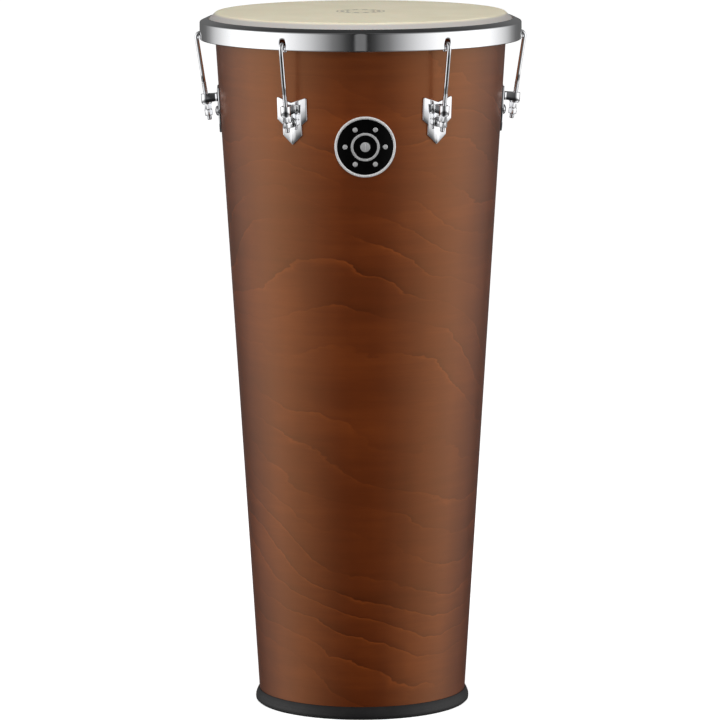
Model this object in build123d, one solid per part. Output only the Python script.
from build123d import *
import os
from math import atan, cos, degrees, radians, sin, sqrt, tan

# Tall conical hand drum (a timba): one plywood shell, a tuned head under a chrome hoop, six tuning
# hooks in strap lugs, a round badge and a rubber foot ring.
#
# Millimetres. +Z is up, the origin is the centre of the foot ring's underside, the badge faces -Y.
# Pieces are drawn at the front, where the radius r runs along -Y, and then turned about Z.

# ---- driving dimensions -------------------------------------------------------------------------
HEIGHT = 875.0                   # playing surface above the floor
FOOT_RADIUS = 129.4              # outer radius of the shell's cone at the floor
HEAD_RADIUS = 183.6              # outer radius of the shell's cone at the playing surface
WALL = 8.0                       # plywood shell
STATIONS = 6                     # hook, lug, washer, nut and bolt at each
FIRST_STATION = 30.0             # degrees from the front, towards +X
SEAT_GAP = 0.05                  # left between pieces that are seated on each other

FILM = 0.8                       # drumhead film
CREST_RADIUS = 178.6             # outer end of the flat crest that the film rests on
CREST_WIDTH = 1.0
CROWN_ROUND = 5.0                # film's outer radius over the bearing edge
COLLAR_SLOPE = 45.0              # degrees below horizontal, outside the crown
SKIRT_RADIUS = 194.2             # outer face of the film where it hangs in the flesh hoop
SKIRT_BOTTOM = 858.3

HOOP_RADIUS = 201.1              # counterhoop, outside
HOOP_BOTTOM = 841.3
HOOP_SHEET = 2.0
LIP_RADIUS = 190.5               # inner edge of the counterhoop's flange
LIP_TOP = 868.5
FLANGE_RISE = 25.0               # degrees, rising inwards
HOOK_HOLE = 4.1                  # radius of the upright slot's round ends
HOOK_HOLE_RISE = 0.9             # from the slot's middle to the centre of each end
HOOK_HOLE_Z = 850.1

FLESH_BOTTOM = 856.5             # flesh hoop: an aluminium channel that grips the film's skirt
FLESH_INNER = 191.7
FLESH_OUTER = 197.5
FLESH_SHEET = 1.0
FLESH_INNER_TOP = 861.2

ROD_TILT = 8.75                  # degrees: the hooks lean outwards towards the hoop
SEAT_Z = 762.0                   # where the rod leaves the lug's lower face
SEAT_RADIUS = 192.3
ROD_RADIUS = 2.6                 # plain shank
THREAD_RADIUS = 3.0              # M6, at its crests
THREAD_TOP_Z = 788.0
ROD_TIP_Z = 740.0
BEND_RADIUS = 5.2                # centre line of the hook's bend
BEND_TOP_Z = 848.9               # centre line at the top of the bend
HOOK_LEG = 5.0                   # straight end inside the hoop

NUT_FLATS = 10.0
NUT_HEIGHT = 15.0
NUT_BORE = 3.06
NUT_GROOVE = 0.4
WASHER_RADIUS = 6.4
WASHER_BORE = 3.3
WASHER = 1.5

LUG_Z = 766.0                    # height of the lug's own origin on the shell
PLATE = 2.4                      # lug plate
PLATE_EDGE = 0.6                 # broken edge of the plate
STRAP = 1.6                      # strap that forms the lug's loop
LOOP_RADIUS = 6.6                # rounded outer end of the loop
LOOP_REACH = 16.1                # centre of that rounded end, out from the shell
LOOP_TOP = 7.6
LOOP_BOTTOM = -9.0               # before the seat is cut square to the rod
FOOT_HALF = 10.6                 # half width over the strap's two feet

BOLT_DROP = 14.5                 # lug bolt, below the lug's origin
BOLT_RADIUS = 3.0
BOLT_HOLE = 3.25
HEAD_HEIGHT = 3.6
BUTTON_RADIUS = 6.3
SOCKET_FLATS = 4.0
SOCKET_DEPTH = 2.2
BOLT_INSIDE = 17.0               # bolt end, inwards from the shell's outer face
INNER_WASHER_RADIUS = 8.0
INNER_WASHER = 1.5
INNER_NUT_FLATS = 10.0
INNER_NUT = 5.0

BADGE_Z = 723.0
BADGE_RADIUS = 37.7
BADGE_RING = 3.4                 # width of the raised ring
BADGE_BACK = 0.8
BADGE_ENAMEL = 0.5
BADGE_RAISED = 1.8               # ring and emblem

FOOT_RING_TOP = 16.2
FOOT_RING_FLOOR = 3.0            # rubber under the shell's bottom edge
FOOT_RING_INNER = 3.0            # lip inside the shell
FOOT_RING_FLAT = 132.4           # outer end of the face it stands on
FOOT_RING_BULGE = 135.2
FOOT_RING_BULGE_Z = 5.0

# ---- derived values -----------------------------------------------------------------------------
TAPER = atan((HEAD_RADIUS - FOOT_RADIUS) / HEIGHT)
LEAN = radians(ROD_TILT)
# Profiles are drawn on this plane: x is the radius at the front and y is the height.
RADIAL = Plane((0, 0, 0), x_dir=(0, -1, 0), z_dir=(-1, 0, 0))


def shell_radius(z, depth=0.0):
    """Radius at height z of the surface that lies depth inside the shell's outer face."""
    return FOOT_RADIUS + z * tan(TAPER) - depth / cos(TAPER)


def ring(outline):
    """Solid of revolution about Z of a closed outline drawn on the radial plane."""
    return revolve(RADIAL * make_face(outline), Axis.Z)


def polygon(*points):
    """Closed outline through the points."""
    return Polyline(*points, close=True)


def skin_layer(low, high, inner, outer):
    """Conical layer between two heights, from inner to outer above the shell's face."""
    corners = [(low, inner), (low, outer), (high, outer), (high, inner)]
    return ring(polygon(*[(shell_radius(z, -rise), z) for z, rise in corners]))


def station_turns():
    """Turns about Z that carry a piece from the front to each tuning station."""
    return [Rot(0, 0, FIRST_STATION + k * 360 / STATIONS) for k in range(STATIONS)]


def shell_plane(z):
    """Plane on the shell's face at the front: x tangential, y up the cone, z out of it."""
    normal = (0, -cos(TAPER), -sin(TAPER))
    return Plane((0, -shell_radius(z), z), x_dir=(1, 0, 0), z_dir=normal)


def rod_plane():
    """Plane square to the rod at the lug's seat: z runs up the rod."""
    return Plane((0, -SEAT_RADIUS, SEAT_Z), x_dir=(1, 0, 0), z_dir=(0, -sin(LEAN), cos(LEAN)))


def disc(radius, low, high):
    """Round slab along local z."""
    return extrude(Pos(0, 0, low) * Circle(radius), high - low)


def hexagon(flats, low, high):
    """Hexagonal slab along local z, flats being its width across flats."""
    shape = RegularPolygon(flats / 2, 6, major_radius=False)
    return extrude(Pos(0, 0, low) * shape, high - low)


# ---- shell and foot -----------------------------------------------------------------------------
def make_shell():
    """Plywood cone with a rounded bearing edge and six bolt holes."""
    crest = HEIGHT - FILM
    slope = radians(COLLAR_SLOPE)
    arc_centre = (CREST_RADIUS, HEIGHT - CROWN_ROUND)
    arc_radius = CROWN_ROUND - FILM
    under = 0.3                  # the edge falls away under the film outside its crest
    arc_end = (
        arc_centre[0] + (arc_radius - under) * sin(slope),
        arc_centre[1] + (arc_radius - under) * cos(slope),
    )
    # The 45 degree flank of the bearing edge runs down to the shell's outer face.
    flank_z = (arc_end[1] + (arc_end[0] - FOOT_RADIUS) * tan(slope)) / (1 + tan(TAPER) * tan(slope))
    inner_crest = CREST_RADIUS - CREST_WIDTH
    bevel_z = crest - (inner_crest - shell_radius(crest, WALL))
    profile = Curve() + [
        Polyline(
            (CREST_RADIUS, crest),
            (inner_crest, crest),
            (shell_radius(bevel_z, WALL), bevel_z),
            (shell_radius(FOOT_RING_FLOOR, WALL), FOOT_RING_FLOOR),
            (shell_radius(FOOT_RING_FLOOR), FOOT_RING_FLOOR),
            (shell_radius(flank_z), flank_z),
            arc_end,
        ),
        TangentArc(arc_end, (CREST_RADIUS, crest), tangent=(-sin(slope), cos(slope))),
    ]
    shell = ring(profile)
    hole = shell_plane(LUG_Z) * Pos(0, -BOLT_DROP, 0) * disc(BOLT_HOLE, -2 * WALL, WALL)
    return shell - [turn * hole for turn in station_turns()]


def make_base_ring():
    """Rubber channel pushed over the shell's bottom edge, bulging outwards."""
    floor = FOOT_RING_FLOOR - SEAT_GAP
    inner_bottom = shell_radius(0, WALL + FOOT_RING_INNER)
    outer_lip = shell_radius(FOOT_RING_TOP, -SEAT_GAP) + 0.3
    bulge = (FOOT_RING_BULGE, FOOT_RING_BULGE_Z)
    profile = Curve() + [
        Polyline(
            (outer_lip, FOOT_RING_TOP),
            (shell_radius(FOOT_RING_TOP, -SEAT_GAP), FOOT_RING_TOP),
            (shell_radius(floor, -SEAT_GAP), floor),
            (shell_radius(floor, WALL + SEAT_GAP), floor),
            (shell_radius(FOOT_RING_TOP, WALL + SEAT_GAP), FOOT_RING_TOP),
            (shell_radius(FOOT_RING_TOP, WALL + FOOT_RING_INNER), FOOT_RING_TOP),
            (inner_bottom, 0),
            (FOOT_RING_FLAT, 0),
        ),
        TangentArc(bulge, (FOOT_RING_FLAT, 0), tangent=(0, -1)),
        TangentArc(bulge, (outer_lip, FOOT_RING_TOP), tangent=(0, 1)),
    ]
    return ring(profile)


# ---- head, flesh hoop and counterhoop -----------------------------------------------------------
def make_film():
    """Film: flat playing surface, rounded crown, sloping collar, skirt inside the flesh hoop."""
    slope = radians(COLLAR_SLOPE)

    def crown(thickness):
        """End of the crown's arc, thickness inside the film's outer face."""
        reach = CROWN_ROUND - thickness
        return (CREST_RADIUS + reach * sin(slope), HEIGHT - CROWN_ROUND + reach * cos(slope))

    def corner(thickness):
        """Where the sloping collar meets the upright skirt."""
        start = crown(thickness)
        radius = SKIRT_RADIUS - thickness
        return (radius, start[1] - (radius - start[0]) * tan(slope))

    profile = Curve() + [
        Line((0, HEIGHT), (CREST_RADIUS, HEIGHT)),
        TangentArc((CREST_RADIUS, HEIGHT), crown(0), tangent=(1, 0)),
        Polyline(
            crown(0),
            corner(0),
            (SKIRT_RADIUS, SKIRT_BOTTOM),
            (SKIRT_RADIUS - FILM, SKIRT_BOTTOM),
            corner(FILM),
            crown(FILM),
        ),
        TangentArc((CREST_RADIUS, HEIGHT - FILM), crown(FILM), tangent=(1, 0)),
        Polyline((CREST_RADIUS, HEIGHT - FILM), (0, HEIGHT - FILM), (0, HEIGHT)),
    ]
    return ring(profile)


def flange_z(radius, depth):
    """Height of the flange at a radius, depth inside its upper face."""
    rise = radians(FLANGE_RISE)
    return LIP_TOP - (radius - LIP_RADIUS) * tan(rise) - depth / cos(rise)


def make_flesh_hoop():
    """Aluminium channel, open upwards, whose outer leg carries the counterhoop's flange."""
    outer_top = flange_z(FLESH_OUTER, HOOP_SHEET) - SEAT_GAP
    return ring(
        polygon(
            (FLESH_INNER, FLESH_BOTTOM),
            (FLESH_OUTER, FLESH_BOTTOM),
            (FLESH_OUTER, outer_top),
            (FLESH_OUTER - FLESH_SHEET, outer_top),
            (FLESH_OUTER - FLESH_SHEET, FLESH_BOTTOM + FLESH_SHEET),
            (FLESH_INNER + FLESH_SHEET, FLESH_BOTTOM + FLESH_SHEET),
            (FLESH_INNER + FLESH_SHEET, FLESH_INNER_TOP),
            (FLESH_INNER, FLESH_INNER_TOP),
        )
    )


def make_counterhoop():
    """Rolled steel hoop: upright wall with six slots for the hooks and a flange rising inwards."""
    inner = HOOP_RADIUS - HOOP_SHEET
    outline = make_face(
        polygon(
            (HOOP_RADIUS, HOOP_BOTTOM),
            (HOOP_RADIUS, flange_z(HOOP_RADIUS, 0)),
            (LIP_RADIUS, LIP_TOP),
            (LIP_RADIUS, flange_z(LIP_RADIUS, HOOP_SHEET)),
            (inner, flange_z(inner, HOOP_SHEET)),
            (inner, HOOP_BOTTOM),
        )
    )
    corners = outline.vertices()
    knuckle = corners.sort_by_distance((HOOP_RADIUS, flange_z(HOOP_RADIUS, 0), 0))[0]
    outline = fillet(knuckle, HOOP_SHEET)
    lip = outline.vertices().sort_by_distance((LIP_RADIUS, LIP_TOP, 0))[:2]
    outline = fillet(lip, 0.35 * HOOP_SHEET)
    edge = outline.vertices().sort_by_distance((HOOP_RADIUS, HOOP_BOTTOM, 0))[:2]
    outline = fillet(edge, 0.3 * HOOP_SHEET)
    hoop = revolve(RADIAL * outline, Axis.Z)
    behind = (0, -inner + 3 * HOOP_SHEET, HOOK_HOLE_Z)
    upright = Plane(behind, x_dir=(0, 0, 1), z_dir=(0, -1, 0))
    slot = upright * extrude(SlotCenterToCenter(2 * HOOK_HOLE_RISE, 2 * HOOK_HOLE), 6 * HOOP_SHEET)
    return hoop - [turn * slot for turn in station_turns()]


# ---- tuning hook, nut and washer ----------------------------------------------------------------
def rod_distance(z):
    """Distance along the rod from the lug's seat to height z."""
    return (z - SEAT_Z) / cos(LEAN)


def make_hook():
    """Threaded rod that leans outwards and bends over through the hoop's slot."""
    centre_z = BEND_TOP_Z - BEND_RADIUS
    bend_start = rod_distance(centre_z - BEND_RADIUS * sin(LEAN))
    tip = rod_distance(ROD_TIP_Z)
    thread_top = rod_distance(THREAD_TOP_Z)
    thread = disc(THREAD_RADIUS, tip, thread_top)
    ends = thread.edges().filter_by(GeomType.CIRCLE)
    thread = chamfer(ends, 0.4 * THREAD_RADIUS, THREAD_RADIUS - ROD_RADIUS + 0.2)
    straight = thread + disc(ROD_RADIUS, thread_top - 1, bend_start)
    hook = rod_plane() * straight

    centre_r = SEAT_RADIUS + bend_start * sin(LEAN) - BEND_RADIUS * cos(LEAN)
    axis = Axis((0, -centre_r, centre_z), (-1, 0, 0))
    section = rod_plane() * Pos(0, 0, bend_start) * Circle(ROD_RADIUS)
    hook += revolve(section, axis, revolution_arc=180 + ROD_TILT)
    leg_plane = Plane((0, BEND_RADIUS - centre_r, centre_z), z_dir=(0, 0, -1))
    leg = disc(ROD_RADIUS, 0, HOOK_LEG)
    leg = chamfer(leg.faces().sort_by(Axis.Z)[-1].edges(), 0.2 * ROD_RADIUS)
    return hook + leg_plane * leg


def make_nut():
    """Long hexagonal tuning nut with turned-down ends and a shallow groove."""
    low = -SEAT_GAP - WASHER - SEAT_GAP - NUT_HEIGHT
    high = low + NUT_HEIGHT
    corner = NUT_FLATS / sqrt(3)
    turned = disc(corner, low, high)
    turned = chamfer(turned.edges().filter_by(GeomType.CIRCLE), 0.8, 1.0)
    middle = (low + high) / 2
    groove = disc(corner + 1, middle - 0.6, middle + 0.6)
    groove -= disc(NUT_FLATS / 2 - NUT_GROOVE, middle - 1, middle + 1)
    nut = hexagon(NUT_FLATS, low, high) & turned
    return rod_plane() * (nut - groove - disc(NUT_BORE, low - 1, high + 1))


def make_washer():
    """Flat washer between the lug's seat and the tuning nut."""
    low = -SEAT_GAP - WASHER
    washer = disc(WASHER_RADIUS, low, -SEAT_GAP)
    washer = chamfer(washer.edges().filter_by(GeomType.CIRCLE), 0.2)
    return rod_plane() * (washer - disc(WASHER_BORE, low - 1, 1))


# ---- lug and its bolt ---------------------------------------------------------------------------
def plate_outline():
    """Shield outline of the lug plate: notched top, stepped waist, pointed tail."""
    half = [(0.0, 10.0), (20.4, 17.0), (20.4, -11.5), (13.2, -17.5), (13.0, -30.5), (0.0, -42.5)]
    mirrored = [(-x, y) for x, y in reversed(half[1:-1])]
    face = make_face(polygon(*half, *mirrored))
    tops = face.vertices().sort_by(Axis.Y)[-2:]
    face = fillet(tops, 1.8)
    return fillet(face.vertices().sort_by(Axis.Y)[0], 1.5)


def make_lug():
    """Curved plate with a welded strap whose open loop holds the rod."""
    here = shell_plane(LUG_Z)
    reach = 8.0                  # the prisms run this far inside and outside the curved layers
    low, high = LUG_Z - 50, LUG_Z + 25
    prism = here * extrude(Pos(0, 0, -reach) * plate_outline(), 2 * reach)
    plate = prism & skin_layer(low, high, SEAT_GAP, SEAT_GAP + PLATE)
    outer = plate.faces().sort_by_distance(here.from_local_coords(Vector(0, 0, reach)))[0]
    plate = chamfer(outer.edges(), PLATE_EDGE)

    # The strap's section lies square to the cone: x tangential, y out of the shell.
    root = here.from_local_coords(Vector(0, LOOP_BOTTOM, 0))
    strap = Plane(root, x_dir=(-1, 0, 0), z_dir=here.y_dir)
    height = LOOP_TOP - LOOP_BOTTOM

    def bar(radius):
        """Bar from inside the plate out to a rounded end."""
        start = SEAT_GAP + PLATE / 2
        shape = Pos(0, (start + LOOP_REACH) / 2) * Rectangle(2 * radius, LOOP_REACH - start)
        return extrude(shape + Pos(0, LOOP_REACH) * Circle(radius), height)

    feet = here * Pos(0, (LOOP_TOP + LOOP_BOTTOM) / 2, 0) * Box(2 * FOOT_HALF, height, 2 * reach)
    feet &= skin_layer(low, high, PLATE, PLATE + STRAP)
    hollow = strap * bar(LOOP_RADIUS - STRAP) - skin_layer(low, high, 0, SEAT_GAP + PLATE)
    loop = strap * bar(LOOP_RADIUS) + feet - hollow
    # The loop's lower face is cut square to the rod, as a seat for the washer.
    below = 20.0
    loop -= rod_plane() * Pos(0, 0, -below / 2) * Box(3 * below, 3 * below, below)
    hole = here * Pos(0, -BOLT_DROP, 0) * disc(BOLT_HOLE, -reach, reach)
    return plate + loop - hole


def bolt_plane():
    """Plane on the shell's face at a lug bolt, z out of the shell."""
    return shell_plane(LUG_Z) * Pos(0, -BOLT_DROP, 0)


def make_bolt():
    """Button-head bolt with a hexagon socket, from outside the plate to inside the shell."""
    seat = PLATE + 2 * SEAT_GAP
    top = seat + HEAD_HEIGHT
    head = disc(BUTTON_RADIUS, seat, top)
    head = fillet(head.faces().sort_by(Axis.Z)[-1].edges(), 0.8 * HEAD_HEIGHT)
    shank = disc(BOLT_RADIUS, -BOLT_INSIDE, seat + 1)
    shank = chamfer(shank.faces().sort_by(Axis.Z)[0].edges(), 0.5)
    return bolt_plane() * (head + shank - hexagon(SOCKET_FLATS, top - SOCKET_DEPTH, top + 1))


def inner_seat():
    """Depth of the washer's face inside the shell, clear of the hollow wall at its rim."""
    wall_radius = shell_radius(LUG_Z - BOLT_DROP, WALL)
    return WALL + SEAT_GAP + wall_radius - sqrt(wall_radius**2 - INNER_WASHER_RADIUS**2)


def make_bolt_washer():
    """Flat washer inside the shell."""
    face = -inner_seat()
    washer = disc(INNER_WASHER_RADIUS, face - INNER_WASHER, face)
    return bolt_plane() * (washer - disc(BOLT_HOLE, face - 5, face + 5))


def make_bolt_nut():
    """Hexagon nut inside the shell."""
    face = -inner_seat() - INNER_WASHER - SEAT_GAP
    nut = hexagon(INNER_NUT_FLATS, face - INNER_NUT, face)
    turned = disc(INNER_NUT_FLATS / sqrt(3), face - INNER_NUT, face)
    nut &= chamfer(turned.edges().filter_by(GeomType.CIRCLE), 0.4, 0.8)
    return bolt_plane() * (nut - disc(BOLT_RADIUS + SEAT_GAP, face - INNER_NUT - 1, face + 1))


# ---- badge --------------------------------------------------------------------------------------
def emblem_outline(grow=0.0):
    """Generic emblem: a hoop with six dots round it and a round centre, all grown by grow."""
    outline = Circle(17.5 + grow) - Circle(14.5 - grow) + Circle(6.0 + grow)
    dots = PolarLocations(24.5, STATIONS, start_angle=FIRST_STATION)
    return outline + [spot * Circle(3.0 + grow) for spot in dots]


def badge_layer(outline, inner, outer):
    """Outline carried on to the shell as a curved layer from inner to outer above it."""
    reach = 12.0
    prism = shell_plane(BADGE_Z) * extrude(Pos(0, 0, -reach) * outline, 2 * reach)
    low, high = BADGE_Z - 2 * BADGE_RADIUS, BADGE_Z + 2 * BADGE_RADIUS
    return prism & skin_layer(low, high, inner, outer)


def make_badge_plate():
    """Pressed metal badge: thin back, raised ring and raised emblem."""
    back_top = SEAT_GAP + BADGE_BACK
    back = badge_layer(Circle(BADGE_RADIUS), SEAT_GAP, back_top)
    raised = Circle(BADGE_RADIUS) - Circle(BADGE_RADIUS - BADGE_RING) + emblem_outline()
    return back + badge_layer(raised, back_top - 0.2, SEAT_GAP + BADGE_RAISED)


def make_badge_enamel():
    """Black enamel that fills the badge's field round the emblem."""
    low = 2 * SEAT_GAP + BADGE_BACK
    field = Circle(BADGE_RADIUS - BADGE_RING - SEAT_GAP) - emblem_outline(SEAT_GAP)
    return badge_layer(field, low, low + BADGE_ENAMEL)


# ---- output -------------------------------------------------------------------------------------
def build():
    """Every node's shape by name."""
    turns = station_turns()
    nodes = {
        "shell": make_shell(),
        "base_ring": make_base_ring(),
        "drumhead_film": make_film(),
        "flesh_hoop": make_flesh_hoop(),
        "counterhoop": make_counterhoop(),
        "badge_plate": make_badge_plate(),
        "badge_enamel": make_badge_enamel(),
    }
    stations = {
        "lug": make_lug(),
        "tuning_hook": make_hook(),
        "tuning_nut": make_nut(),
        "tuning_washer": make_washer(),
    }
    for name, piece in stations.items():
        for number, turn in enumerate(turns, start=1):
            nodes[f"{name}_{number}"] = turn * piece
    groups = {
        "lug_bolts": make_bolt(),
        "lug_bolt_washers": make_bolt_washer(),
        "lug_bolt_nuts": make_bolt_nut(),
    }
    for name, piece in groups.items():
        nodes[name] = Compound(children=[turn * piece for turn in turns])
    return nodes


os.makedirs("parts", exist_ok=True)
for node, shape in build().items():
    export_step(shape, f"parts/{node}.step")
    print(node, round(shape.volume))
